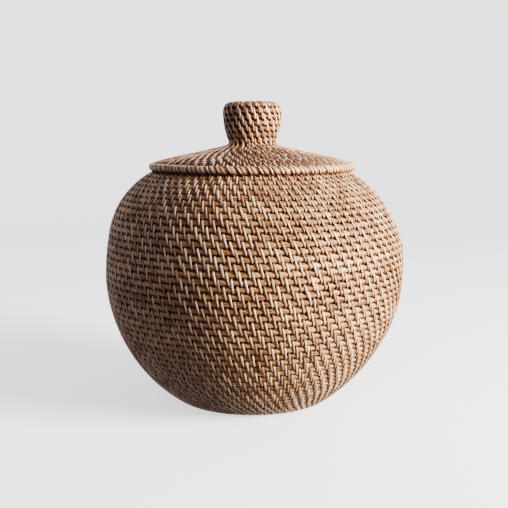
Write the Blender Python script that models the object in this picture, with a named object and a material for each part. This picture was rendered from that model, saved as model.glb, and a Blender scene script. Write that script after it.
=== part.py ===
"""A round lidded basket, coiled from rattan cane and stitched with split cane.

The basket body is one spiral of cane wound from the middle of the base out and up to the mouth. The cane comes
in lengths that are spliced end to end, so each length is a piece of its own here: a ring of a few rows. The lid is
wound the same way, from the top of its knob down to its rim, where a thicker hoop in a close binding finishes it.
A ring under the lid drops into the mouth and keeps the lid in place. The lid lifts off along +Z.

Origin: the middle of the base's underside. +Z is up. Every piece is turned about Z. Lengths are in metres.
"""

import math

import bmesh
import bpy

# Driving dimensions of the body.
BODY_R = 0.1503  # outside radius at the widest row
BASE_R = 0.075  # outside radius where the wall meets the base
WIDEST_Z = 0.1305  # height of the widest row
MOUTH_Z = 0.2316  # height where the wall's outside reaches the mouth
LOWER_BULGE = 1.89  # superellipse exponent below the widest row: 2 is an ellipse, more is squarer
SHOULDER_BULGE = 2.50  # the same above it
SHOULDER_H = 0.1209  # height of the whole upper half-superellipse, which the mouth cuts short
WALL_T = 0.0065  # thickness of one row of cane with its stitches
WALL_LENGTHS = 14  # lengths of cane in the wall
ROWS_PER_LENGTH = 3
KNOT_R = 0.009  # the tight first turns at the middle of the base and of the knob
BASE_SPLICE_R = 0.042  # where the base's first length of cane ends
BASE_EDGE_SLOPE = 0.0052  # how far the base's edge runs in, to the top of its last row

# Driving dimensions of the lid and its knob.
LID_T = 0.006  # thickness of one row of the lid's cane
KNOB_TOP_Z = 0.3005
KNOB_R = 0.0298  # outside radius at the knob's widest row
KNOB_EDGE_R = 0.0075  # rounding between the knob's side and its top
NECK_R = 0.0232  # outside radius at the knob's foot
NECK_Z = 0.2595
KNOB_TAPER = 2.5  # exponent of the curve from the knob's widest row down to its foot
CONE_TOP_Z = 0.2583  # outside of the lid where it leaves the neck
CONE_FALL = 0.238  # fall of the lid for each unit outwards
LID_SPLICE_R = 0.060  # where the lid's first length of cane ends
LID_EDGE_R = 0.0963  # where the coiled lid ends and its hoop begins
HOOP_CENTRE_R = 0.0998
HOOP_CENTRE_Z = 0.2362
HOOP_R = 0.0032  # the hoop's cane
BINDING_OUT_R = 0.0040  # outside of the binding round the hoop
BINDING_OPEN = math.radians(100)  # the binding's open side, which faces the lid's last row
LOCATING_OUT_R = 0.0930
LOCATING_T = 0.0052
LOCATING_LOW_Z = 0.2210

GAP = 0.0003  # clearance between neighbours
AROUND = 48  # facets round each turned piece
FINE = 400  # steps used to measure along a curve

CANE_COLOUR = (0.44, 0.25, 0.12, 1.0)
PEEL_COLOUR = (0.66, 0.50, 0.31, 1.0)


def clear_scene():
    for obj in list(bpy.data.objects):
        bpy.data.objects.remove(obj, do_unlink=True)


def material(name, colour, roughness):
    made = bpy.data.materials.new(name)
    made.use_nodes = True
    shader = made.node_tree.nodes["Principled BSDF"]
    shader.inputs["Base Color"].default_value = colour
    shader.inputs["Roughness"].default_value = roughness
    shader.inputs["Metallic"].default_value = 0.0
    return made


def empty(name, height):
    """A parent for the pieces of one moving body, on the axis that they share."""
    made = bpy.data.objects.new(name, None)
    made.location.z = height
    bpy.context.scene.collection.objects.link(made)
    return made


def turned(name, profile, parent, colour=CANE_COLOUR, roughness=0.5):
    """A solid of revolution about Z from a closed outline of (radius, height) points.

    The heights are the object's own. The piece's origin lies on the axis, level with its lowest point.
    """
    foot = min(z for _, z in profile)
    bm = bmesh.new()
    verts = [bm.verts.new((r, 0.0, z - foot)) for r, z in profile]
    edges = [bm.edges.new((a, b)) for a, b in zip(verts, verts[1:] + verts[:1]) if a.co.x or b.co.x]
    bmesh.ops.spin(
        bm,
        geom=verts + edges,
        cent=(0, 0, 0),
        axis=(0, 0, 1),
        angle=2 * math.pi,
        steps=AROUND,
        use_merge=True,
    )
    bmesh.ops.remove_doubles(bm, verts=bm.verts, dist=1e-6)
    bmesh.ops.recalc_face_normals(bm, faces=bm.faces)
    mesh = bpy.data.meshes.new(name)
    bm.to_mesh(mesh)
    bm.free()
    mesh.shade_smooth()
    mesh.set_sharp_from_angle(angle=math.radians(40))
    obj = bpy.data.objects.new(name, mesh)
    obj.parent = parent
    obj.location.z = foot - parent.location.z
    obj.data.materials.append(material(name + "_finish", colour, roughness))
    bpy.context.scene.collection.objects.link(obj)
    return obj


def superellipse(x, power):
    """1 at x = 0 down to 0 at x = 1, bulging more for a larger power."""
    return (1 - min(abs(x), 1.0) ** power) ** (1 / power)


def wall_outside(z):
    """Outside radius of the body at height z."""
    if z >= WIDEST_Z:
        return BODY_R * superellipse((z - WIDEST_Z) / SHOULDER_H, SHOULDER_BULGE)
    lower_h = WIDEST_Z / superellipse(BASE_R / BODY_R, LOWER_BULGE)
    return BODY_R * superellipse((WIDEST_Z - z) / lower_h, LOWER_BULGE)


def knob_side(z):
    """Outside radius of the knob below its rounded edge."""
    widest_z = KNOB_TOP_Z - KNOB_EDGE_R
    down = (widest_z - z) / (widest_z - NECK_Z)
    return NECK_R + (KNOB_R - NECK_R) * (1 - down**KNOB_TAPER)


def cone(r):
    """Outside height of the lid at radius r."""
    return CONE_TOP_Z - CONE_FALL * (r - NECK_R)


def arc(centre, radius, start, end, steps):
    """Points on an arc in the (radius, height) plane, with angles from the outward direction."""
    points = []
    for i in range(steps + 1):
        a = start + (end - start) * i / steps
        points.append((centre[0] + radius * math.cos(a), centre[1] + radius * math.sin(a)))
    return points


class Shell:
    """A wall of even thickness behind an outside curve, measured along that curve."""

    def __init__(self, outside, thickness):
        self.outside = outside
        self.thickness = thickness
        self.at = [0.0]
        for (r0, z0), (r1, z1) in zip(outside, outside[1:]):
            self.at.append(self.at[-1] + math.hypot(r1 - r0, z1 - z0))
        self.length = self.at[-1]

    def station(self, s):
        """The outside and inside points at distance s. The inside lies to the left of the curve's direction."""
        i = max(k for k in range(len(self.at) - 1) if self.at[k] <= max(s, 0.0))
        (r0, z0), (r1, z1) = self.outside[i], self.outside[i + 1]
        share = (s - self.at[i]) / (self.at[i + 1] - self.at[i])
        along = math.hypot(r1 - r0, z1 - z0)
        left = (-(z1 - z0) / along, (r1 - r0) / along)
        outer = (r0 + share * (r1 - r0), z0 + share * (z1 - z0))
        inner = (outer[0] + self.thickness * left[0], outer[1] + self.thickness * left[1])
        return outer, inner

    def band(self, start, end, steps):
        """The closed outline of the wall from start to end."""
        stations = [self.station(start + (end - start) * i / steps) for i in range(steps + 1)]
        return [outer for outer, _ in stations] + [inner for _, inner in reversed(stations)]


def make_base(body):
    """A knot, then two lengths of cane wound flat. The outer one's edge slopes with the foot of the wall."""
    turned("base_start_knot", [(0, 0), (KNOT_R, 0), (KNOT_R, WALL_T), (0, WALL_T)], body)
    ends = {
        "base_coil_inner": (KNOT_R + GAP, BASE_SPLICE_R, BASE_SPLICE_R),
        "base_coil_outer": (BASE_SPLICE_R + GAP, BASE_R - 1.5 * GAP, BASE_R - BASE_EDGE_SLOPE),
    }
    for name, (inner, outer_low, outer_high) in ends.items():
        turned(name, [(inner, 0), (outer_low, 0), (outer_high, WALL_T), (inner, WALL_T)], body)


def make_wall(body):
    """The wall's lengths of cane, each a ring of ROWS_PER_LENGTH rows, and one last row round the mouth."""
    heights = [MOUTH_Z * i / FINE for i in range(FINE + 1)]
    shell = Shell([(wall_outside(z), z) for z in heights], WALL_T)
    row = shell.length / (WALL_LENGTHS * ROWS_PER_LENGTH + 0.5)  # half of the mouth's row lies past the wall
    span = row * ROWS_PER_LENGTH
    for i in range(WALL_LENGTHS):
        outline = shell.band(i * span + GAP / 2, (i + 1) * span - GAP / 2, 1)
        turned(f"wall_coil_{i + 1:02d}", outline, body)
    outer, inner = shell.station(shell.length)
    centre = ((outer[0] + inner[0]) / 2, (outer[1] + inner[1]) / 2)
    turned("mouth_coil", arc(centre, row / 2 - GAP, 0, 2 * math.pi, 8)[:-1], body)


def make_knob(lid):
    """The knob is hollow: a coiled top with a rounded edge, and a coiled side that opens into the lid."""
    flat_r = KNOB_R - KNOB_EDGE_R
    edge_z = KNOB_TOP_Z - KNOB_EDGE_R
    outer_edge = arc((flat_r, edge_z), KNOB_EDGE_R, math.pi / 2, 0, 4)
    inner_edge = arc((flat_r, edge_z), KNOB_EDGE_R - LID_T, 0, math.pi / 2, 2)
    low_z = KNOB_TOP_Z - LID_T
    knot = [(0, low_z), (KNOT_R, low_z), (KNOT_R, KNOB_TOP_Z), (0, KNOB_TOP_Z)]
    turned("knob_start_knot", knot, lid)
    knot_gap_r = KNOT_R + GAP
    top = [(knot_gap_r, KNOB_TOP_Z), *outer_edge, *inner_edge, (knot_gap_r, low_z)]
    turned("knob_top_coil", top, lid)
    steps = 4
    foot_z = NECK_Z + GAP
    heights = [edge_z - GAP + (foot_z - edge_z + GAP) * i / steps for i in range(steps + 1)]
    outside = [(knob_side(z), z) for z in heights]
    inside = [(r - LID_T, z) for r, z in reversed(outside)]
    turned("knob_side_coil", outside + inside, lid)


def make_lid(lid):
    """The lid's cone in two lengths of cane, its bound hoop, and the ring that locates it in the mouth."""
    under = LID_T * math.hypot(1, CONE_FALL)  # the cone's thickness measured straight down
    ends = {
        "lid_coil_inner": (NECK_R - LID_T, LID_SPLICE_R - GAP),
        "lid_coil_outer": (LID_SPLICE_R, LID_EDGE_R),
    }
    for name, (r0, r1) in ends.items():
        top = [(r0, cone(r0)), (r1, cone(r1))]
        if r0 < NECK_R:
            top[0] = (r0, cone(NECK_R))
            top.insert(1, (NECK_R, cone(NECK_R)))
        turned(name, top + [(r1, cone(r1) - under), (r0, cone(r0) - under)], lid)

    hoop = (HOOP_CENTRE_R, HOOP_CENTRE_Z)
    turned("lid_rim_hoop", arc(hoop, HOOP_R, 0, 2 * math.pi, 8)[:-1], lid)
    first = -math.pi + BINDING_OPEN / 2 - math.radians(20)
    last = math.pi - BINDING_OPEN / 2 - math.radians(20)
    outer = arc(hoop, BINDING_OUT_R, first, last, 6)
    inner = arc(hoop, HOOP_R + GAP, last, first, 6)
    turned("lid_rim_binding", outer + inner, lid, PEEL_COLOUR, 0.4)

    top_z = cone(LOCATING_OUT_R) - under - GAP
    out_r, in_r = LOCATING_OUT_R, LOCATING_OUT_R - LOCATING_T
    ring = [(in_r, LOCATING_LOW_Z), (out_r, LOCATING_LOW_Z), (out_r, top_z), (in_r, top_z)]
    turned("lid_locating_ring", ring, lid)


clear_scene()
basket_body = empty("basket_body", 0.0)
lifting_lid = empty("lid_lift_axis", MOUTH_Z)
make_base(basket_body)
make_wall(basket_body)
make_knob(lifting_lid)
make_lid(lifting_lid)
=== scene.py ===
"""The visual model of a coiled cane basket with a lift-off lid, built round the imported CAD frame.

Each length of cane in the CAD frame is a plain ring. Here it becomes the woven thing it stands for: a stretch
of a spiral of round cane, with the split-cane strands that bind each row to the row before it. One coil runs
from the middle of the base to the mouth, and another from the top of the knob to the edge of the lid.

A point of a coil has three coordinates: how far it lies along the coil's centreline from the middle outwards
(s), the angle round the basket, and how far it stands out from the centreline (lift). A phase counts strands
along the coil, so its whole numbers are where strands cross the cane. Lengths are in metres.
"""

import math
from types import SimpleNamespace

import bpy
import numpy as np
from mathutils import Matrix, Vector


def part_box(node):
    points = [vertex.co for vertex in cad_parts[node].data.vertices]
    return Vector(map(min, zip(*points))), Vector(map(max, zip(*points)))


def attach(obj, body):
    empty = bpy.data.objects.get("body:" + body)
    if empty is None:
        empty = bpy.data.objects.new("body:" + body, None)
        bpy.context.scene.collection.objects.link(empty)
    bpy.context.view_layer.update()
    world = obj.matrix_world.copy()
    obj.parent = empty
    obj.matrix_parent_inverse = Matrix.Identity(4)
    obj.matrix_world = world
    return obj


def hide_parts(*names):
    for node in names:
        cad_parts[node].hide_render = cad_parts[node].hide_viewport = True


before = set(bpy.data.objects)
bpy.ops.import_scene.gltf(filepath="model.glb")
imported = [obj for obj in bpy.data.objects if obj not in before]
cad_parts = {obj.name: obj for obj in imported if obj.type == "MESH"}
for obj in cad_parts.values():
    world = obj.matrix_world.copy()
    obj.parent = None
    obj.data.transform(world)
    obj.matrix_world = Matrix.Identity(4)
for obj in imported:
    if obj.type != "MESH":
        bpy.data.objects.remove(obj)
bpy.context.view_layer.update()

TURN = 2 * math.pi
MM = 0.001

# The outside shape of the pot.
LOWER_BULGE = 1.89  # superellipse exponent below the widest place: 2 is an ellipse, more is squarer
SHOULDER_BULGE = 2.50  # the same above it
WIDEST_SHARE = 0.5635  # height of the widest place, as a share of the mouth's height
SHOULDER_SHARE = 0.5220  # height at which the shoulder would close, above the widest place
WALL_DEPTH = 3.4 * MM  # from the outside of the CAD wall to the middle of the cane

# The outside shape of the lid.
NECK_R = 23.2 * MM
NECK_Z = 259.5 * MM
NECK_FILLET = 1.5 * MM  # from the side of the neck to where the cone begins
KNOB_EDGE_R = 7.5 * MM  # rounding between the knob's side and its top
KNOB_TAPER = 2.5  # exponent of the curve from the knob's widest row down to its foot
KNOB_CROWN = 0.8 * MM
CONE_TOP_Z = 258.3 * MM
CONE_FALL = 0.238  # fall of the lid for each unit outwards
CONE_CROWN = 1.2 * MM  # how much the lid's slope bulges
CONE_CROWN_SKEW = 3.2  # 1 puts the bulge in the middle of the slope, more puts it nearer the edge
CONE_SHORTFALL = 0.3  # how far short of the hoop's middle the cone ends, as a share of the hoop's half height
LID_DEPTH = 3.1 * MM

# Sizes taken from the CAD frame.
mouth_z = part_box("mouth_coil")[1].z
body_r = max(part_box(name)[1].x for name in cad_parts)
base_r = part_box("base_coil_outer")[1].x
knob_top_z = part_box("knob_top_coil")[1].z
knob_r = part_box("knob_side_coil")[1].x
hoop_low, hoop_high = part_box("lid_rim_hoop")
hoop_z = (hoop_low.z + hoop_high.z) / 2
hoop_half = (hoop_high.z - hoop_low.z) / 2
hoop_r = hoop_high.x - hoop_half
ring_low, ring_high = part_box("lid_locating_ring")
widest_z = WIDEST_SHARE * mouth_z
shoulder_h = SHOULDER_SHARE * mouth_z
base_corner = base_r - WALL_DEPTH / 2  # how far along the coil the base turns into the wall


# Centrelines.

LINE_STEP = 0.25 * MM
LINE_MARGIN = 12 * MM  # how far a centreline can be read past its ends


def smoothed(points, blur):
    """A line of (radius, height) points at even steps along itself, with its corners rounded."""
    points = np.array(points, float)
    along = np.concatenate([[0], np.cumsum(np.linalg.norm(np.diff(points, axis=0), axis=1))])
    even = np.arange(0, along[-1], LINE_STEP)
    line = np.stack([np.interp(even, along, points[:, i]) for i in range(2)], axis=1)
    reach = int(4 * blur / LINE_STEP)
    weights = np.exp(-0.5 * (np.arange(-reach, reach + 1) * LINE_STEP / blur) ** 2)
    weights /= weights.sum()
    before = line[0] + (line[0] - line[1:reach + 1])[::-1]
    after = line[-1] + (line[-1] - line[-reach - 1:-1])[::-1]
    padded = np.concatenate([before, line, after])
    return np.stack([np.convolve(padded[:, i], weights, "valid") for i in range(2)], axis=1)


def directions_of(line, side):
    """The unit direction and the outward normal at each point.

    side is 1 if the outside lies to the right of the line's run, or -1.
    """
    run = np.gradient(line, axis=0)
    run /= np.linalg.norm(run, axis=1)[:, None]
    return run, side * np.stack([run[:, 1], -run[:, 0]], axis=1)


def inset(line, depth, side):
    """The line moved inwards by depth."""
    return line - depth * directions_of(line, side)[1]


def make_curve(line, side):
    """The centreline of a coil, with its direction and its outward normal, for reading by length along it."""
    run_in = line[0] - (line[1] - line[0]) / np.linalg.norm(line[1] - line[0]) * LINE_MARGIN
    run_out = line[-1] + (line[-1] - line[-2]) / np.linalg.norm(line[-1] - line[-2]) * LINE_MARGIN
    along = np.concatenate([[0], np.cumsum(np.linalg.norm(np.diff(line, axis=0), axis=1))])
    length = along[-1]
    run, out = directions_of(line, side)
    return SimpleNamespace(
        s=np.concatenate([[-LINE_MARGIN], along, [length + LINE_MARGIN]]),
        place=np.concatenate([[run_in], line, [run_out]]),
        run=np.concatenate([run[:1], run, run[-1:]]),
        out=np.concatenate([out[:1], out, out[-1:]]),
        length=length,
    )


def read(curve, s, what):
    """The radial part and the upright part of the curve's place, run or out at s."""
    table = getattr(curve, what)
    return np.interp(s, curve.s, table[:, 0]), np.interp(s, curve.s, table[:, 1])


def superellipse(x, power):
    """1 at x = 0 down to 0 at x = 1, bulging more for a larger power."""
    return (1 - np.clip(np.abs(x), 0, 1) ** power) ** (1 / power)


def body_line():
    """The outside of the pot: along the base, round its edge and up the wall to the mouth."""
    lower_h = widest_z / superellipse(base_r / body_r, LOWER_BULGE)
    heights = np.linspace(0, mouth_z, 600)
    below = superellipse((widest_z - heights) / lower_h, LOWER_BULGE)
    above = superellipse((heights - widest_z) / shoulder_h, SHOULDER_BULGE)
    radii = body_r * np.where(heights < widest_z, below, above)
    return [(0, 0)] + list(zip(radii, heights))


def lid_line():
    """The outside of the lid: over the knob, down its side and out along the cone."""
    edge_z = knob_top_z - KNOB_EDGE_R
    top = [(0, knob_top_z + KNOB_CROWN)]
    corner_r = knob_r - KNOB_EDGE_R
    for turn in np.linspace(0, math.pi / 2, 12):
        top.append((corner_r + KNOB_EDGE_R * math.sin(turn), edge_z + KNOB_EDGE_R * math.cos(turn)))
    side = []
    for z in np.linspace(edge_z, NECK_Z, 60)[1:]:
        down = (edge_z - z) / (edge_z - NECK_Z)
        side.append((NECK_R + (knob_r - NECK_R) * (1 - down**KNOB_TAPER), z))
    edge = hoop_r - CONE_SHORTFALL * hoop_half
    cone = []
    for r in np.linspace(NECK_R + NECK_FILLET, edge, 60):
        share = (r - NECK_R) / (edge - NECK_R)
        bulge = CONE_CROWN * math.sin(math.pi * share**CONE_CROWN_SKEW)
        cone.append((r, CONE_TOP_Z - CONE_FALL * (r - NECK_R) + bulge))
    return top + side + cone


# Coils.

SAMPLES_PER_TURN = 720
SHAVED_START = 0.12  # how long the cane's shaved start is, in turns
THINNEST = 0.14  # the cane's thickness at its ends, as a share of its full one
OPEN_TURNS = 1.2  # how far before a coil's end its far edge begins to lie open, in turns
OPEN_BLEND = 0.4  # and how many turns it takes to do so


def make_coil(**values):
    """A coil with these values.

    curve: its centreline. pitch: the spacing of its rows along it. start: where along it the coil begins.
    first, turns: the turn at which the cane starts, and the one at which it ends.
    sense: 1 if the coil runs anticlockwise seen from above, or -1.
    half_width, half_depth: half the cane's size along the centreline and through the wall.
    strand_width: the strands' width, as (lengths along the centreline, widths).
    strand_height: how far a strand stands up from the cane.
    stain: how much extra painted shade darkens the cane, as (lengths along the centreline, amounts).
    zones: (length along the centreline, strands in a turn up to there).
    off_centre: whether its rows near the base run off centre.
    """
    coil = SimpleNamespace(**values)
    grid = np.linspace(0, coil.turns * TURN, int(coil.turns * SAMPLES_PER_TURN))
    s = coil.start + coil.pitch * grid / TURN
    counts = np.full(len(grid), float(coil.zones[-1][1]))
    for limit, count in reversed(coil.zones[:-1]):
        counts[s < limit] = count
    steps = np.diff(grid) * (counts[1:] + counts[:-1]) / 2 / TURN
    coil.grid = grid
    coil.phase = np.concatenate([[0], np.cumsum(steps)])
    return coil


# The pot was started a little off its middle, and the rows come back to it on the way up the wall.
OFF_CENTRE_AT = np.array([-80, 0, 50, 80, 130, 190, 265]) * MM  # along the coil, from the base's corner
OFF_CENTRE = np.array([5, 5, 4.6, 3.6, 2.0, 0.8, 0.0]) * MM
OFF_CENTRE_ANGLE = math.radians(42)  # the side on which the rows lie furthest along
CORNER_BLEND = 25 * MM  # how far past the corner a shift across the base turns into one up the wall

# It was also built up by eye, so its middle wanders a little to one side and back on the way up.
SWAY_HEIGHTS = np.array([0, 20, 45, 60, 80, 120, 150, 165, 180, 190, 205, 215, 226, 233]) * MM
SWAY = np.array([-0.6, -1.2, -0.5, 0.0, 0.8, 1.4, 2.1, 2.0, 0.7, 0.0, -1.0, -1.4, -2.0, -0.9]) * MM
LID_SWAY = -0.5 * MM


def shifted(coil, s, angle):
    """Where a point of the coil's regular spiral lies on the real one."""
    if not coil.off_centre:
        return s, angle
    amount = np.interp(s - base_corner, OFF_CENTRE_AT, OFF_CENTRE)
    swing = angle - OFF_CENTRE_ANGLE
    wall_s = s + amount * np.cos(swing)
    base_s = np.hypot(wall_s, amount * np.sin(swing))
    base_turn = np.arctan2(-amount * np.sin(swing), wall_s)
    blend = np.clip((s - base_corner) / CORNER_BLEND, 0, 1)
    blend = blend * blend * (3 - 2 * blend)
    return base_s * (1 - blend) + wall_s * blend, angle + base_turn * (1 - blend)


def swayed(coil, z):
    """How far the middle of the pot, or of the lid, lies to one side at this height."""
    if coil.sense < 0:
        return LID_SWAY
    return np.interp(z, SWAY_HEIGHTS, SWAY)


def point(coil, s, angle, lift):
    """The place in space of a point of the coil."""
    s, angle = shifted(coil, s, angle)
    r, z = read(coil.curve, s, "place")
    out_r, out_z = read(coil.curve, s, "out")
    r = r + lift * out_r
    z = z + lift * out_z
    return np.stack([r * np.cos(angle) + swayed(coil, z), r * np.sin(angle), z], axis=-1)


def directions(coil, s, angle):
    """The directions in space along the centreline and out from it."""
    s, angle = shifted(coil, s, angle)
    found = []
    for what in ("run", "out"):
        r, z = read(coil.curve, s, what)
        found.append(np.stack([r * np.cos(angle), r * np.sin(angle), z], axis=-1))
    return found


def row_middle(coil, turn):
    """How far out the middle of the cane lies. The last turn thins away, so that the coil ends level."""
    thinned = np.clip(turn / TURN - (coil.turns - 1), 0, 1)
    return coil.start + coil.pitch * (turn / TURN - thinned / 2)


def end_taper(coil, turn):
    """The cane's thickness as a share of its full one: thin at its start, and thinning over its last turn."""
    start = np.clip((turn / TURN - coil.first) / SHAVED_START, 0, 1)
    finish = np.clip(coil.turns - turn / TURN, 0, 1)
    return np.maximum(np.sqrt(start * (2 - start)) * finish, THINNEST)


def end_rise(coil, turn):
    """How far the thinned last turn is moved out, so that its outer face stays level with the other rows."""
    return coil.half_depth * np.clip(turn / TURN - (coil.turns - 1), 0, 1)


def at_open_end(coil, turn):
    """How far the cane's far edge lies open and gets no painted shade from the grooves: 1 on the last turn,
    and 0 before it.
    """
    return np.clip((turn / TURN - coil.turns + OPEN_TURNS) / OPEN_BLEND, 0, 1)


# Meshes.


def unit(v):
    return v / np.maximum(np.linalg.norm(v, axis=-1, keepdims=True), 1e-12)


def tube(rings, material, tone, grain, shade_and_stain):
    """Closed solids through rings of points, of shape (tubes, along, round, 3).

    The last three arguments are what the materials read at each point: how light the cane is, its place along
    and across the fibres, and how much painted shade darkens it, mostly towards the grooves, with some
    staining along the strands' cut edges.
    """
    tubes, along, around, _ = rings.shape
    index = np.arange(tubes * along * around).reshape(tubes, along, around)
    following = np.roll(index, -1, axis=2)
    quads = np.stack([index[:, :-1], following[:, :-1], following[:, 1:], index[:, 1:]], axis=-1)
    quads = quads.reshape(-1, 4)
    caps = np.concatenate([index[:, 0, ::-1], index[:, -1]])
    points = rings.reshape(-1, 3)
    corners = [points[quads[:, i]] for i in range(4)]
    volume = np.einsum("ij,ij->i", corners[0], np.cross(corners[1], corners[2])).sum()
    volume += np.einsum("ij,ij->i", corners[0], np.cross(corners[2], corners[3])).sum()
    if volume < 0:
        quads, caps = quads[:, ::-1], caps[:, ::-1]
    return SimpleNamespace(
        points=points,
        faces=[quads, caps],
        material=material,
        tone=np.broadcast_to(tone, rings.shape[:3]).reshape(-1),
        grain=np.broadcast_to(grain, rings.shape).reshape(-1, 3),
        shade_and_stain=np.broadcast_to(shade_and_stain, rings.shape[:3]).reshape(-1),
    )


def build(name, blocks, materials):
    """One mesh object from several blocks of tubes."""
    points, faces, kinds, smooth = [], [], [], []
    total = 0
    for block in blocks:
        points.append(block.points)
        for shape, flat in zip(block.faces, (False, True)):
            faces.append(shape + total)
            kinds.append(np.full(len(shape), block.material))
            smooth.append(np.full(len(shape), not flat))
        total += len(block.points)
    mesh = bpy.data.meshes.new(name)
    mesh.vertices.add(total)
    mesh.vertices.foreach_set("co", np.concatenate(points).astype(np.float32).ravel())
    sizes = np.concatenate([np.full(len(f), f.shape[1]) for f in faces])
    mesh.loops.add(int(sizes.sum()))
    mesh.loops.foreach_set("vertex_index", np.concatenate([f.ravel() for f in faces]).astype(np.int32))
    mesh.polygons.add(len(sizes))
    mesh.polygons.foreach_set("loop_start", (np.cumsum(sizes) - sizes).astype(np.int32))
    mesh.polygons.foreach_set("material_index", np.concatenate(kinds).astype(np.int32))
    mesh.polygons.foreach_set("use_smooth", np.concatenate(smooth))
    mesh.update(calc_edges=True)
    for label, kind, field in (
        ("tone", "FLOAT", "value"),
        ("shade_and_stain", "FLOAT", "value"),
        ("grain", "FLOAT_VECTOR", "vector"),
    ):
        values = np.concatenate([getattr(block, label) for block in blocks]).astype(np.float32)
        mesh.attributes.new(label, kind, "POINT").data.foreach_set(field, values.ravel())
    for material in materials:
        mesh.materials.append(material)
    obj = bpy.data.objects.new(name, mesh)
    bpy.context.scene.collection.objects.link(obj)
    return obj


# The round cane.

# How it is sampled between two strands, and round its section from the side that faces the next row.
PHASES = np.array([0.0, 0.12, 0.24, 0.36, 0.45, 0.54, 0.62, 0.71, 0.81, 0.91])
SECTION = np.radians([0, 26, 52, 78, 104, 140, 180, 220, 256, 282, 308, 334])
END_CLEARANCE = 0.03  # least phase between a sample and the end of the piece

# How the strands press it out of its round shape, as (phase, amount) between one strand and the next.
# Its upper side is the one that faces the next row.
UPPER_LOSS = ((0.36, 0.0), (0.60, 1.0), (0.80, 1.0), (0.95, 0.0))
LOWER_LOSS = ((0.15, 0.2), (0.40, 0.9), (0.58, 0.5), (0.74, 0.8), (0.84, 1.0), (0.95, 0.0))
UNDER_STRAND = ((0.0, 1.0), (0.14, 1.0), (0.28, 0.0), (0.86, 0.0))
DIP = ((0.52, 0.0), (0.68, 1.0), (0.75, 1.0), (0.84, 0.0))  # where it goes in under the next row's strand
UPPER_CUT = 1.3 * MM
LOWER_CUT = 0.4 * MM
LEAST_UPPER = 0.4  # how much of its half width is always left on the upper side
PRESS = 0.08  # how much thinner it is under a strand
DIP_DEPTH = 0.10  # and in a dip
# Painted shade where the cane goes in under the next row's strand.
DIP_SHADE = 0.40
ROOMY = 8 * MM  # strands closer together than this press it less
LEAST_EASE = 0.2

SQUARENESS = 0.86  # 1 is an ellipse; the cane is pressed a little square
INNER_SQUARENESS = 0.45  # towards the inside the rows are pressed flat against each other
INNER_SHARE = 0.56  # half the cane's width there, as a share of the rows' spacing
OUTER_FROM = 0.25  # the outer width's share halfway up the section, with the inner width as the rest
OUTER_RATE = 2.2  # how fast that share grows as the section rises

THICKNESS_SPREAD = 0.035
CELL_TONE_SHARE = 0.45  # how much of the cane's tone changes from strand to strand; the rest changes slowly
CELL_MIDDLE = 0.4  # the phase at which the cane has the tone of its place between two strands
SLOW_TONE_STRANDS = 37.0  # strands from one slow tone to the next
SLOW_TONES = np.random.default_rng(5).uniform(0, 1, 400)


def wave(phase, knots):
    """A value that repeats with each strand, from (phase, value) knots between 0 and 1."""
    at, values = zip(*knots)
    at = np.array(at)
    return np.interp(phase % 1, np.concatenate([at - 1, at, at + 1]), np.tile(values, 3))


def squared(x, power):
    """A sine or cosine, bulged towards a square for a power under 1."""
    return np.sign(x) * np.abs(x) ** power


def press_room(coil, s, turn, phases):
    """How fully the strands can press the cane: 1 where they stand far apart, and less near the middle."""
    radius = np.abs(read(coil.curve, s, "place")[0])
    spacing = np.maximum(radius, coil.pitch) * np.gradient(turn) / np.maximum(np.gradient(phases), 1e-6)
    return np.clip(spacing / ROOMY, LEAST_EASE, 1)


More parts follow.
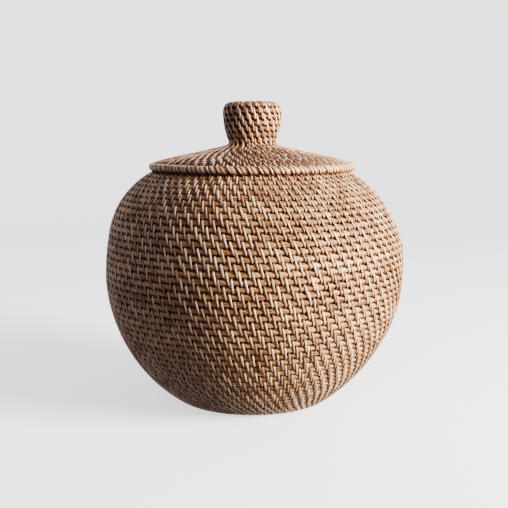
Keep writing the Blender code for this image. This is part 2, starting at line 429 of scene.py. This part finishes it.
def cane_rows(coil, begin, end, rng, seed):
    """The round cane of the coil between two turns."""
    first, last = np.interp([begin * TURN, end * TURN], coil.grid, coil.phase)
    cells = np.arange(math.floor(first), math.ceil(last) + 1)
    phases = (cells[:, None] + PHASES).ravel()
    inside = (phases > first + END_CLEARANCE) & (phases < last - END_CLEARANCE)
    phases = np.concatenate([[first], phases[inside], [last]])
    turn = np.interp(phases, coil.phase, coil.grid)
    s_mid = row_middle(coil, turn)
    ease = press_room(coil, s_mid, turn, phases)
    ends = end_taper(coil, turn)
    uneven = np.interp(phases, cells, 1 + THICKNESS_SPREAD * rng.standard_normal(len(cells)).clip(-2, 2))
    wide = coil.half_width * uneven * ends
    dip = wave(phases, DIP)
    deep = coil.half_depth * uneven * ends * (1 - PRESS * wave(phases, UNDER_STRAND) - DIP_DEPTH * dip)
    upper = np.maximum(wide - UPPER_CUT * ease * wave(phases, UPPER_LOSS), LEAST_UPPER * wide)
    lower = wide - LOWER_CUT * ease * wave(phases, LOWER_LOSS)

    cos, sin = np.cos(SECTION), np.sin(SECTION)
    across = squared(cos, np.where(sin < 0, INNER_SQUARENESS, SQUARENESS))[None]
    rise = squared(sin, SQUARENESS)[None]
    outer_width = np.where(across > 0, upper[:, None], lower[:, None])
    inner_width = INNER_SHARE * coil.pitch * ends[:, None]
    outer_share = np.clip(OUTER_FROM + OUTER_RATE * rise, 0, 1)
    width = inner_width * (1 - outer_share) + outer_width * outer_share
    s = s_mid[:, None] + across * width
    lift = rise * deep[:, None] + end_rise(coil, turn)[:, None]
    angle = np.broadcast_to(coil.sense * turn[:, None], s.shape)
    rings = point(coil, s, angle, lift)

    cell_tone = np.interp(phases, cells + CELL_MIDDLE, rng.uniform(0, 1, len(cells)))
    slow_tone = np.interp(phases / SLOW_TONE_STRANDS, np.arange(len(SLOW_TONES)), SLOW_TONES)
    tone = CELL_TONE_SHARE * cell_tone + (1 - CELL_TONE_SHARE) * slow_tone
    length = np.cumsum(np.concatenate([[0], np.linalg.norm(np.diff(rings[:, 3], axis=0), axis=1)]))
    grain = np.stack([
        np.broadcast_to(length[:, None], s.shape),
        np.broadcast_to(SECTION * coil.half_width, s.shape),
        np.full(s.shape, seed),
    ], axis=-1)
    open_edge = at_open_end(coil, turn)[:, None] * (across > 0)
    # Painted shade: darker down the sides of the cane towards the grooves, where it dips under a strand, and
    # where the coil is given extra shade.
    stain = np.interp(s_mid, *coil.stain) + DIP_SHADE * dip
    shade_and_stain = (1 - np.abs(rise)) * (1 - open_edge) + stain[:, None]
    return tube(rings[None], 0, tone[None, :, None], grain[None], shade_and_stain[None])


# The strands of split cane.

OWN_ARC = np.radians([108, 82, 58, 34, 12])  # over its own row, from the far side of the cane to its top
PROFILE = np.radians([0, 38, 70, 110, 142, 180])  # across a strand, from edge to edge
FLANK = np.array([1, 0, 0, 0, 0, 1])  # the two cut edges, darkened partly by a brown line along the cut and partly by painted shade on the flanks
PROFILE_ROUNDNESS = 0.8
STRAND_SINK = 0.12 * MM  # how far a strand is pulled into the cane
SEATING = 0.6  # how much of the cane's own pressing a strand follows
SPAN_SAG = 0.12 * MM  # how far it sinks between its two rows

LEAN = 0.29  # sideways run of a strand, as a share of the spacing
FIRST_REACH = 0.3  # where the first turn's strands end, as a share of their own distance from the middle
PLACE_SPREAD, MOST_PLACE = 0.026, 0.07
LEAN_SPREAD, MOST_LEAN = 0.04, 0.1
WIDTH_SPREAD, MOST_WIDTH = 0.06, 0.15
WIDE_END, NARROW_END = 1.14, 0.76  # a strand narrows from its own row to the row before
TUCKED_END = 0.9  # its width where it comes up from between the rows
FULL_SPACING = 2.6 * MM  # strands that stand closer together than this are narrower
LEAST_CROWDED = 0.35
# How much the cut edges darken: partly their own brown line, partly painted shade.
EDGE_STAIN_AND_SHADE = 0.85
LOWER_DARKENING = 0.30  # how much darker a strand is where it passes over the row before
FIBRE_SPREAD = 50  # the range in which each strand reads fibres of its own
TINY = 1e-9  # keeps rounding from dropping a strand where two pieces meet


def band_axes(core, normal):
    """Unit vectors across a band and out from its face, from its path and roughly outward vectors."""
    run = unit(np.gradient(core, axis=1))
    side = unit(np.cross(normal, run))
    return side, unit(np.cross(run, side))


def band(core, side, normal, half, height):
    """Rings of points for flat strands along their paths, with half their width and their full height."""
    across = np.cos(PROFILE)[None, None, :, None]
    rise = np.sin(PROFILE)[None, None, :, None] ** PROFILE_ROUNDNESS * height - STRAND_SINK
    return core[:, :, None] + side[:, :, None] * across * half + normal[:, :, None] * rise


def band_grain(length, half, seeds, shape):
    """The fibres of flat strands: length along each, across its width, and a seed of its own."""
    return np.stack([
        np.broadcast_to(length[None, :, None], shape),
        np.broadcast_to(np.cos(PROFILE) * half, shape),
        np.broadcast_to(seeds[:, None, None], shape),
    ], axis=-1)


def strands(coil, begin, end, rng, seed, inner=False):
    """The strands that bind the rows between two turns, each crossing its own row and the row before."""
    first, last = np.interp([begin * TURN, end * TURN], coil.grid, coil.phase)
    cells = np.arange(math.ceil(first - TINY), math.ceil(last - TINY))
    place = cells + rng.normal(0, PLACE_SPREAD, len(cells)).clip(-MOST_PLACE, MOST_PLACE)
    lean = (LEAN + rng.normal(0, LEAN_SPREAD, len(cells)).clip(-MOST_LEAN, MOST_LEAN))[:, None]
    widths = 1 + rng.normal(0, WIDTH_SPREAD, len(cells)).clip(-MOST_WIDTH, MOST_WIDTH)
    tones = rng.uniform(0, 1, len(cells))

    # arc is the angle round the cane, and row is 0 on the strand's own row and 1 on the row before.
    own = OWN_ARC[1::2] if inner else OWN_ARC
    arc = np.concatenate([own, [0], -own[::-1]])
    row = np.concatenate([np.zeros(len(own)), [0.5], np.ones(len(own))])
    turn = np.interp(place, coil.phase, coil.grid)
    spacing = np.interp(place + 1, coil.phase, coil.grid) - turn
    s_own = row_middle(coil, turn)
    s_before = np.where(s_own > coil.pitch, row_middle(coil, turn - TURN), FIRST_REACH * s_own)
    ends_own = end_taper(coil, turn)[:, None]
    ends_before = np.maximum(ends_own, end_taper(coil, turn - TURN)[:, None])
    ends = ends_own * (1 - row) + ends_before * row
    wide = (coil.half_width + 0.5 * coil.strand_height) * ends
    deep = (coil.half_depth * (1 - SEATING * PRESS)) * ends
    s = s_own[:, None] * (1 - row) + s_before[:, None] * row + wide * np.sin(arc)
    lift = deep * np.cos(arc) - SPAN_SAG * (row == 0.5)
    rises = end_rise(coil, turn)[:, None] * (1 - row) + end_rise(coil, turn - TURN)[:, None] * row
    normal_s, normal_lift = np.sin(arc) / wide, np.cos(arc) / deep
    down = (s_own[:, None] + wide - s) / (2 * wide + coil.pitch)
    if inner:
        lift, normal_lift = -lift, -normal_lift
        bend = 1 - down * (1 - lean)
    else:
        bend = down * lean
    angle = coil.sense * (turn[:, None] + bend * spacing[:, None])
    core = point(coil, s, angle, lift + rises)
    along_row, out = directions(coil, s, angle)
    side, normal = band_axes(core, unit(normal_s[..., None] * along_row + normal_lift[..., None] * out))

    taper = np.linspace(WIDE_END, NARROW_END, len(arc))
    taper[0] = TUCKED_END
    apart = np.hypot(core[..., 0], core[..., 1]) * spacing[:, None]
    crowded = np.clip(apart / FULL_SPACING, LEAST_CROWDED, 1)
    half = (widths * np.interp(s_own, *coil.strand_width) / 2)[:, None] * taper * crowded
    rings = band(core, side, normal, half[..., None, None], coil.strand_height)
    length = np.linspace(0, 2 * coil.pitch, len(arc))
    grain = band_grain(length, MM, seed + rng.uniform(0, FIBRE_SPREAD, len(cells)), rings.shape[:3])
    open_edge = at_open_end(coil, turn)[:, None] * (row == 0)
    # Painted shade where the strand bends down into the grooves, plus the darker row before and the darkened
    # cut edges.
    shade_and_stain = ((1 - np.cos(arc)) * (1 - open_edge) + LOWER_DARKENING * row)[:, :, None] + EDGE_STAIN_AND_SHADE * FLANK
    return tube(rings, 1, tones[:, None, None], grain, shade_and_stain)


# Materials.


def node_material(name):
    material = bpy.data.materials.new(name)
    material.use_nodes = True
    tree = material.node_tree
    return material, tree, tree.nodes["Principled BSDF"]


def feed(tree, socket, value):
    """Links another node's output to the socket, or sets the socket's own value."""
    if isinstance(value, bpy.types.NodeSocket):
        tree.links.new(value, socket)
    else:
        socket.default_value = value


def add(tree, kind, **inputs):
    node = tree.nodes.new(kind)
    for key, value in inputs.items():
        feed(tree, node.inputs[key], value)
    return node


def noise(tree, **inputs):
    return add(tree, "ShaderNodeTexNoise", **inputs).outputs["Fac"]


def maths(tree, operation, a, b):
    node = tree.nodes.new("ShaderNodeMath")
    node.operation = operation
    feed(tree, node.inputs[0], a)
    feed(tree, node.inputs[1], b)
    return node.outputs[0]


def scaled(tree, vector, scales):
    node = tree.nodes.new("ShaderNodeVectorMath")
    node.operation = "MULTIPLY"
    feed(tree, node.inputs[0], vector)
    feed(tree, node.inputs[1], scales)
    return node.outputs[0]


def attribute(tree, name, output):
    node = tree.nodes.new("ShaderNodeAttribute")
    node.attribute_name = name
    return node.outputs[output]


def ramp(tree, factor, stops):
    node = tree.nodes.new("ShaderNodeValToRGB")
    while len(node.color_ramp.elements) < len(stops):
        node.color_ramp.elements.new(0.5)
    for element, (at, colour) in zip(node.color_ramp.elements, stops):
        element.position = at
        element.color = (*colour, 1)
    tree.links.new(factor, node.inputs[0])
    return node.outputs[0]


def multiplied(tree, a, b):
    """One colour times another."""
    node = tree.nodes.new("ShaderNodeMix")
    node.data_type = "RGBA"
    node.blend_type = "MULTIPLY"
    node.inputs[0].default_value = 1.0
    feed(tree, node.inputs[6], a)
    feed(tree, node.inputs[7], b)
    return node.outputs[2]


TONE_WEIGHT = 0.65
PATCH_WEIGHT = 0.45
PATCH_SCALES = (120, 60, 3)
DARKEN = 0.05
ROUGHNESS_SPREAD = 0.25
BUMP_DISTANCE = 0.4 * MM
HALF_GROOVE_SHADE = (0.66, 0.57, 0.58)  # what painted shade halfway into the grooves multiplies the cane's colour by


def cane_material(name, tones, groove_shade, roughness, fibre_scales, streaks, bump):
    """Procedural cane: fibres that run along it, patches of colour, and painted shade that darkens it towards
    the grooves.
    """
    material, tree, shader = node_material(name)
    grain = attribute(tree, "grain", "Vector")
    tone = attribute(tree, "tone", "Fac")
    shade_and_stain = attribute(tree, "shade_and_stain", "Fac")
    along, across = fibre_scales
    stretched = scaled(tree, grain, (along, across, 1))
    fibre = noise(tree, Vector=stretched, Scale=1.0, Detail=3.0, Roughness=0.6)
    patch = noise(tree, Vector=scaled(tree, grain, PATCH_SCALES), Scale=1.0, Detail=2.0)
    value = maths(tree, "MULTIPLY", fibre, streaks)
    value = maths(tree, "ADD", value, maths(tree, "MULTIPLY", tone, TONE_WEIGHT))
    value = maths(tree, "ADD", value, maths(tree, "MULTIPLY", patch, PATCH_WEIGHT))
    value = maths(tree, "SUBTRACT", value, 0.5 * streaks + DARKEN)
    # Painted shade: darkens the colour towards the grooves, down to the cane's deepest shade colour.
    shade = ramp(tree, shade_and_stain, [(0.15, (1, 1, 1)), (0.55, HALF_GROOVE_SHADE), (0.85, groove_shade)])
    tree.links.new(multiplied(tree, ramp(tree, value, tones), shade), shader.inputs["Base Color"])
    varied = maths(tree, "MULTIPLY", fibre, ROUGHNESS_SPREAD)
    rough = maths(tree, "ADD", varied, roughness - ROUGHNESS_SPREAD / 2)
    tree.links.new(rough, shader.inputs["Roughness"])
    relief = add(tree, "ShaderNodeBump", Strength=bump, Distance=BUMP_DISTANCE, Height=fibre)
    tree.links.new(relief.outputs[0], shader.inputs["Normal"])
    return material


# The last colour given for each cane is its purple-tinted painted shade colour, deepest in the grooves.
ROD = cane_material(
    "round_cane",
    tones=[(0.15, (0.20, 0.084, 0.046)), (0.5, (0.47, 0.258, 0.115)), (0.85, (0.76, 0.54, 0.27))],
    groove_shade=(0.42, 0.29, 0.54), roughness=0.505, fibre_scales=(60, 700), streaks=2.1, bump=0.6,
)
STRAND = cane_material(
    "split_cane",
    tones=[(0.1, (0.34, 0.175, 0.09)), (0.5, (0.68, 0.46, 0.255)), (0.85, (0.93, 0.74, 0.47))],
    groove_shade=(0.44, 0.30, 0.50), roughness=0.425, fibre_scales=(100, 1600), streaks=0.9, bump=0.35,
)
PEEL = cane_material(
    "peel_cane",
    tones=[(0.1, (0.38, 0.20, 0.10)), (0.5, (0.72, 0.49, 0.27)), (0.85, (0.95, 0.76, 0.49))],
    groove_shade=(0.44, 0.30, 0.50), roughness=0.405, fibre_scales=(100, 1600), streaks=0.9, bump=0.3,
)


# The pieces that stand for lengths of cane.

FIRST_SEED = 1000
SEED_STEP = 7.3  # how far apart two pieces read their fibres
WALL_ROWS = 42
ROWS_PER_LENGTH = 3
LID_PITCH = 5.8 * MM
RING_ROWS = 2
RING_DEPTH = 2.6 * MM  # from the outside of the locating ring to the middle of its cane
KNOB_SPLICE_SHARE = 0.7  # how far round the knob's edge its top coil ends


def piece(name, body, coil, begin, end, number):
    """The stretch of a coil between two turns, which stands for the CAD node of this name."""
    rng = np.random.default_rng(FIRST_SEED + number)
    seed = number * SEED_STEP
    blocks = [
        cane_rows(coil, begin, end, rng, seed),
        strands(coil, begin, end, rng, seed),
        strands(coil, begin, end, rng, seed, inner=True),
    ]
    obj = build("weave_" + name, blocks, [ROD, STRAND])
    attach(obj, body)
    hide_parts(name)


def turns_at(coil, limits):
    """The turns at which the coil passes these lengths along its centreline."""
    return [min(max((limit - coil.start) / coil.pitch, coil.first), coil.turns) for limit in limits]


def coil_curve(outline, depth, side, outline_blur, middle_blur):
    """The centreline of a coil that lies this deep inside an outline, from the axis outwards."""
    middle = inset(smoothed(outline, outline_blur), depth, side)
    return make_curve(smoothed(middle[middle[:, 0] >= 0], middle_blur), side)


def make_body():
    """The coil of the pot, as one piece for each length of cane."""
    curve = coil_curve(body_line(), WALL_DEPTH, side=1, outline_blur=1.2 * MM, middle_blur=2.5 * MM)
    pitch = (curve.length - base_corner) / (WALL_ROWS + 0.5)
    coil = make_coil(
        curve=curve, pitch=pitch, start=0.0, first=0.5, turns=base_corner / pitch + WALL_ROWS + 1.5, sense=1,
        half_width=2.95 * MM, half_depth=2.75 * MM, strand_width=([0], [2.4 * MM]), strand_height=0.78 * MM,
        stain=([0], [0.0]), off_centre=True,
        zones=[(12 * MM, 10.43), (25 * MM, 20.43), (50 * MM, 40.43), (1, 80.43)],
    )
    limits = [0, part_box("base_start_knot")[1].x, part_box("base_coil_inner")[1].x, base_corner]
    edges = turns_at(coil, limits)
    for number, name in enumerate(("base_start_knot", "base_coil_inner", "base_coil_outer")):
        piece(name, "basket", coil, edges[number], edges[number + 1], number)
    for length in range(WALL_ROWS // ROWS_PER_LENGTH):
        begin = edges[-1] + ROWS_PER_LENGTH * length
        piece(f"wall_coil_{length + 1:02d}", "basket", coil, begin, begin + ROWS_PER_LENGTH, 10 + length)
    piece("mouth_coil", "basket", coil, edges[-1] + WALL_ROWS, coil.turns, 30)


def make_lid():
    """The coil of the lid, as one piece for each length of cane."""
    curve = coil_curve(lid_line(), LID_DEPTH, side=-1, outline_blur=0.8 * MM, middle_blur=2.0 * MM)
    coil = make_coil(
        curve=curve, pitch=LID_PITCH, start=0.0, first=0.5, turns=curve.length / LID_PITCH + 0.5, sense=-1,
        half_width=2.4 * MM, half_depth=2.5 * MM, strand_height=0.75 * MM,
        strand_width=([0, 65 * MM, 80 * MM], [2.7 * MM, 2.7 * MM, 2.1 * MM]),
        # Extra painted shade on the lid's cane, heavier towards the cone's edge.
        stain=([0, 66 * MM, 78 * MM], [0.42, 0.42, 0.6]), off_centre=False,
        zones=[
            (7 * MM, 6.43), (15 * MM, 12.43), (66 * MM, 24.43), (82 * MM, 30.43), (98 * MM, 38.43),
            (116 * MM, 48.43), (1, 62.43),
        ],
    )
    top_edge = knob_r - KNOB_EDGE_R + KNOB_SPLICE_SHARE * KNOB_EDGE_R
    neck_s = curve.s[np.argmin(np.abs(curve.place[:, 1] - NECK_Z)[:-1])]
    cone = curve.s > neck_s
    splice_s = np.interp(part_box("lid_coil_inner")[1].x, curve.place[cone, 0], curve.s[cone])
    edges = turns_at(coil, [0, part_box("knob_start_knot")[1].x, top_edge, neck_s, splice_s, 1])
    names = ("knob_start_knot", "knob_top_coil", "knob_side_coil", "lid_coil_inner", "lid_coil_outer")
    for number, name in enumerate(names):
        piece(name, "lid", coil, edges[number], edges[number + 1], 40 + number)


def make_locating_ring():
    """The ring under the lid: rows of cane bound together, wound downwards."""
    pitch = (ring_high.z - ring_low.z) / (RING_ROWS + 0.7)
    heights = np.linspace(ring_high.z, ring_low.z, 60)
    line = np.stack([np.full(len(heights), ring_high.x - RING_DEPTH), heights], axis=1)
    coil = make_coil(
        curve=make_curve(line, -1), pitch=pitch, start=0.1 * pitch, first=0.0, turns=RING_ROWS + 0.6,
        sense=-1, half_width=0.46 * pitch, half_depth=2.2 * MM, strand_width=([0], [2.1 * MM]),
        strand_height=0.7 * MM, stain=([0], [0.0]), off_centre=False, zones=[(1, 76.43)],
    )
    piece("lid_locating_ring", "lid", coil, 0.0, coil.turns, 62)


# The lid's rim: a thicker hoop in a close binding, which goes round in pairs of strands.

HOOP_SAMPLES = 720
HOOP_WAVES = ((9, 0.02), (23, 0.015))  # how uneven its thickness is, as (waves round the rim, amount)
HOOP_FIBRES = 91.0  # where it reads its fibres
HOOP_TONES = 100  # tones round the rim
# Painted shade all over the hoop, which shows as thin dark lines between the binding strands.
HOOP_SHADE = 0.45
PAIRS = 66
WIDE_GAP_SHARE = 0.41  # where in a pair's share of the rim its second strand lies
NARROW_HALF, WIDE_HALF = 1.2 * MM, 1.9 * MM
BINDING_LEAN, BINDING_LEAN_SPREAD = 0.058, 0.005  # sideways run over the rim's outside, as an angle
BINDING_PLACE_SPREAD = 0.0016
BINDING_WIDTH_SPREAD = 0.1
BINDING_HEIGHT = 0.8 * MM
BINDING_GAP = 0.05 * MM  # between the hoop and the paths of the strands
BINDING_GRAIN_HALF = 1.1 * MM
BINDING_LEAST_TONE = 0.6
SECOND_DARKER = 0.4  # how much darker the second strand of each pair is
UNDERSIDE_FROM = 0.2  # how far under the rim, as a sine, painted shade begins to darken the strands
BINDING_ARC = np.radians(np.linspace(142, -150, 15))  # round the hoop, from above to below


def rim_point(turn, around, reach):
    """A point of the rim: around is measured from straight out, and grows upwards."""
    turn, around = np.broadcast_arrays(turn, around)
    r = hoop_r + reach * np.cos(around)
    return np.stack([r * np.cos(turn) + LID_SWAY, r * np.sin(turn), hoop_z + reach * np.sin(around)], axis=-1)


def rim_hoop():
    """The hoop of round cane at the lid's edge."""
    rng = np.random.default_rng(60)
    turn = np.linspace(0, TURN, HOOP_SAMPLES + 1)
    around = np.radians(np.arange(0, 360, 30))
    uneven = 1 + sum(amount * np.sin(waves * turn) for waves, amount in HOOP_WAVES)
    rings = rim_point(turn[:, None], around[None], hoop_half * uneven[:, None])
    shape = rings.shape[:2]
    grain = np.stack([
        np.broadcast_to(turn[:, None] * hoop_r, shape),
        np.broadcast_to(around * hoop_half, shape),
        np.full(shape, HOOP_FIBRES),
    ], axis=-1)
    tone = np.interp(turn, np.linspace(0, TURN, HOOP_TONES), rng.uniform(0, 1, HOOP_TONES))
    # Painted shade: the whole hoop a little, and more on its underside.
    shade_and_stain = np.broadcast_to(HOOP_SHADE + np.clip(-np.sin(around), 0, 1), shape)
    block = tube(rings[None], 0, tone[None, :, None], grain[None], shade_and_stain[None])
    obj = build("weave_lid_rim_hoop", [block], [ROD])
    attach(obj, "lid")
    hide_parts("lid_rim_hoop")


def rim_binding():
    """The strands wound round the hoop, a narrow one and a wide one in each pair."""
    rng = np.random.default_rng(61)
    starts = (np.arange(PAIRS)[:, None] + np.array([0, WIDE_GAP_SHARE])).ravel() / PAIRS * TURN
    starts = starts + rng.normal(0, BINDING_PLACE_SPREAD, len(starts))
    reach = hoop_half + BINDING_GAP
    lean = BINDING_LEAN + rng.normal(0, BINDING_LEAN_SPREAD, len(starts))
    turn = starts[:, None] + lean[:, None] * (0.5 - BINDING_ARC / math.pi)[None]
    core = rim_point(turn, BINDING_ARC[None], reach)
    side, normal = band_axes(core, unit(core - rim_point(turn, BINDING_ARC[None], 0.0)))
    second = np.tile([0, 1], PAIRS)
    uneven = 1 + rng.uniform(-BINDING_WIDTH_SPREAD, BINDING_WIDTH_SPREAD, len(starts))
    half = np.where(second == 0, NARROW_HALF, WIDE_HALF) * uneven
    rings = band(core, side, normal, half[:, None, None, None], BINDING_HEIGHT)
    seeds = rng.uniform(0, FIBRE_SPREAD, len(starts))
    grain = band_grain(BINDING_ARC * reach, BINDING_GRAIN_HALF, seeds, rings.shape[:3])
    # Painted shade under the rim; the cut edges darken partly by their own brown line, partly by painted
    # shade.
    shade_and_stain = np.clip(-np.sin(BINDING_ARC) - UNDERSIDE_FROM, 0, 1)[None, :, None] + EDGE_STAIN_AND_SHADE * FLANK
    tone = rng.uniform(BINDING_LEAST_TONE, 1, len(starts)) - SECOND_DARKER * second
    block = tube(rings, 0, tone[:, None, None], grain, shade_and_stain)
    obj = build("weave_lid_rim_binding", [block], [PEEL])
    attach(obj, "lid")
    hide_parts("lid_rim_binding")


make_body()
make_lid()
rim_hoop()
rim_binding()
make_locating_ring()


# The stage: a pale round floor that curves up into a pale wall all the way round.

FLOOR_R, BEND_R, WALL_TOP = 1.5, 1.2, 4.2
STAGE_SIDES = 96


def make_stage():
    """The floor and wall, which glow so that they stay pale."""
    profile = [(0.0, 0.0), (0.5, 0.0), (FLOOR_R, 0.0)]
    for turn in np.linspace(0, math.pi / 2, 24)[1:]:
        profile.append((FLOOR_R + BEND_R * math.sin(turn), BEND_R - BEND_R * math.cos(turn)))
    profile.append((FLOOR_R + BEND_R, WALL_TOP))
    rows = len(profile)
    points, faces = [], []
    for number, angle in enumerate(np.linspace(0, TURN, STAGE_SIDES, endpoint=False)):
        here, there = number * rows, (number + 1) % STAGE_SIDES * rows
        points += [(r * math.cos(angle), r * math.sin(angle), z) for r, z in profile]
        faces += [(here + i, there + i, there + i + 1, here + i + 1) for i in range(rows - 1)]
    mesh = bpy.data.meshes.new("backdrop")
    mesh.from_pydata(points, [], faces)
    mesh.shade_smooth()
    plaster, tree, shader = node_material("pale_plaster")
    cloud = noise(tree, Scale=1.6, Detail=4.0)
    colour = ramp(tree, cloud, [(0.3, (0.70, 0.705, 0.72)), (0.7, (0.76, 0.765, 0.77))])
    tree.links.new(colour, shader.inputs["Base Color"])
    tree.links.new(colour, shader.inputs["Emission Color"])
    shader.inputs["Emission Strength"].default_value = 0.8
    shader.inputs["Roughness"].default_value = 0.9
    mesh.materials.append(plaster)
    backdrop = bpy.data.objects.new("backdrop", mesh)
    bpy.context.scene.collection.objects.link(backdrop)
    backdrop.visible_diffuse = False  # so that its brightness doesn't flood the basket's shaded side


def make_world():
    """A dim sky, brighter from above, for the shaded side."""
    world = bpy.data.worlds.new("studio")
    world.use_nodes = True
    tree = world.node_tree
    direction = tree.nodes.new("ShaderNodeTexCoord").outputs["Generated"]
    height = add(tree, "ShaderNodeSeparateXYZ", Vector=direction).outputs["Z"]
    share = maths(tree, "ADD", maths(tree, "MULTIPLY", height, 0.5), 0.5)
    stops = [(0.35, (0.13, 0.10, 0.20)), (0.5, (0.39, 0.37, 0.54)), (0.75, (0.72, 0.74, 0.98))]
    glow = ramp(tree, share, stops)
    tree.links.new(glow, tree.nodes["Background"].inputs["Color"])
    tree.nodes["Background"].inputs["Strength"].default_value = 0.36
    bpy.context.scene.world = world


def soft_light(name, place, target, size, power, colour):
    """A square lamp that faces its target."""
    data = bpy.data.lights.new(name, "AREA")
    data.shape = "SQUARE"
    data.size = size
    data.energy = power
    data.color = colour
    lamp = bpy.data.objects.new(name, data)
    lamp.location = place
    lamp.rotation_euler = (Vector(target) - Vector(place)).to_track_quat("-Z", "Y").to_euler()
    bpy.context.scene.collection.objects.link(lamp)


def make_camera():
    """The photograph's view: from a little above, 0.9 m away."""
    data = bpy.data.cameras.new("camera")
    data.lens = 63.13
    data.sensor_width = 36.0
    camera = bpy.data.objects.new("camera", data)
    camera.location = (0.001, -0.900, 0.2709)
    camera.rotation_euler = (math.radians(90 - 7.83), 0, 0)
    bpy.context.scene.collection.objects.link(camera)
    bpy.context.scene.camera = camera


make_stage()
make_world()
soft_light(
    "key", place=(1.94, -0.86, 0.72), target=(0, 0, 0.15), size=0.9, power=92, colour=(1.0, 0.96, 0.90),
)
make_camera()
bpy.context.scene.view_settings.view_transform = "AgX"
bpy.context.scene.view_settings.look = "AgX - Very High Contrast"
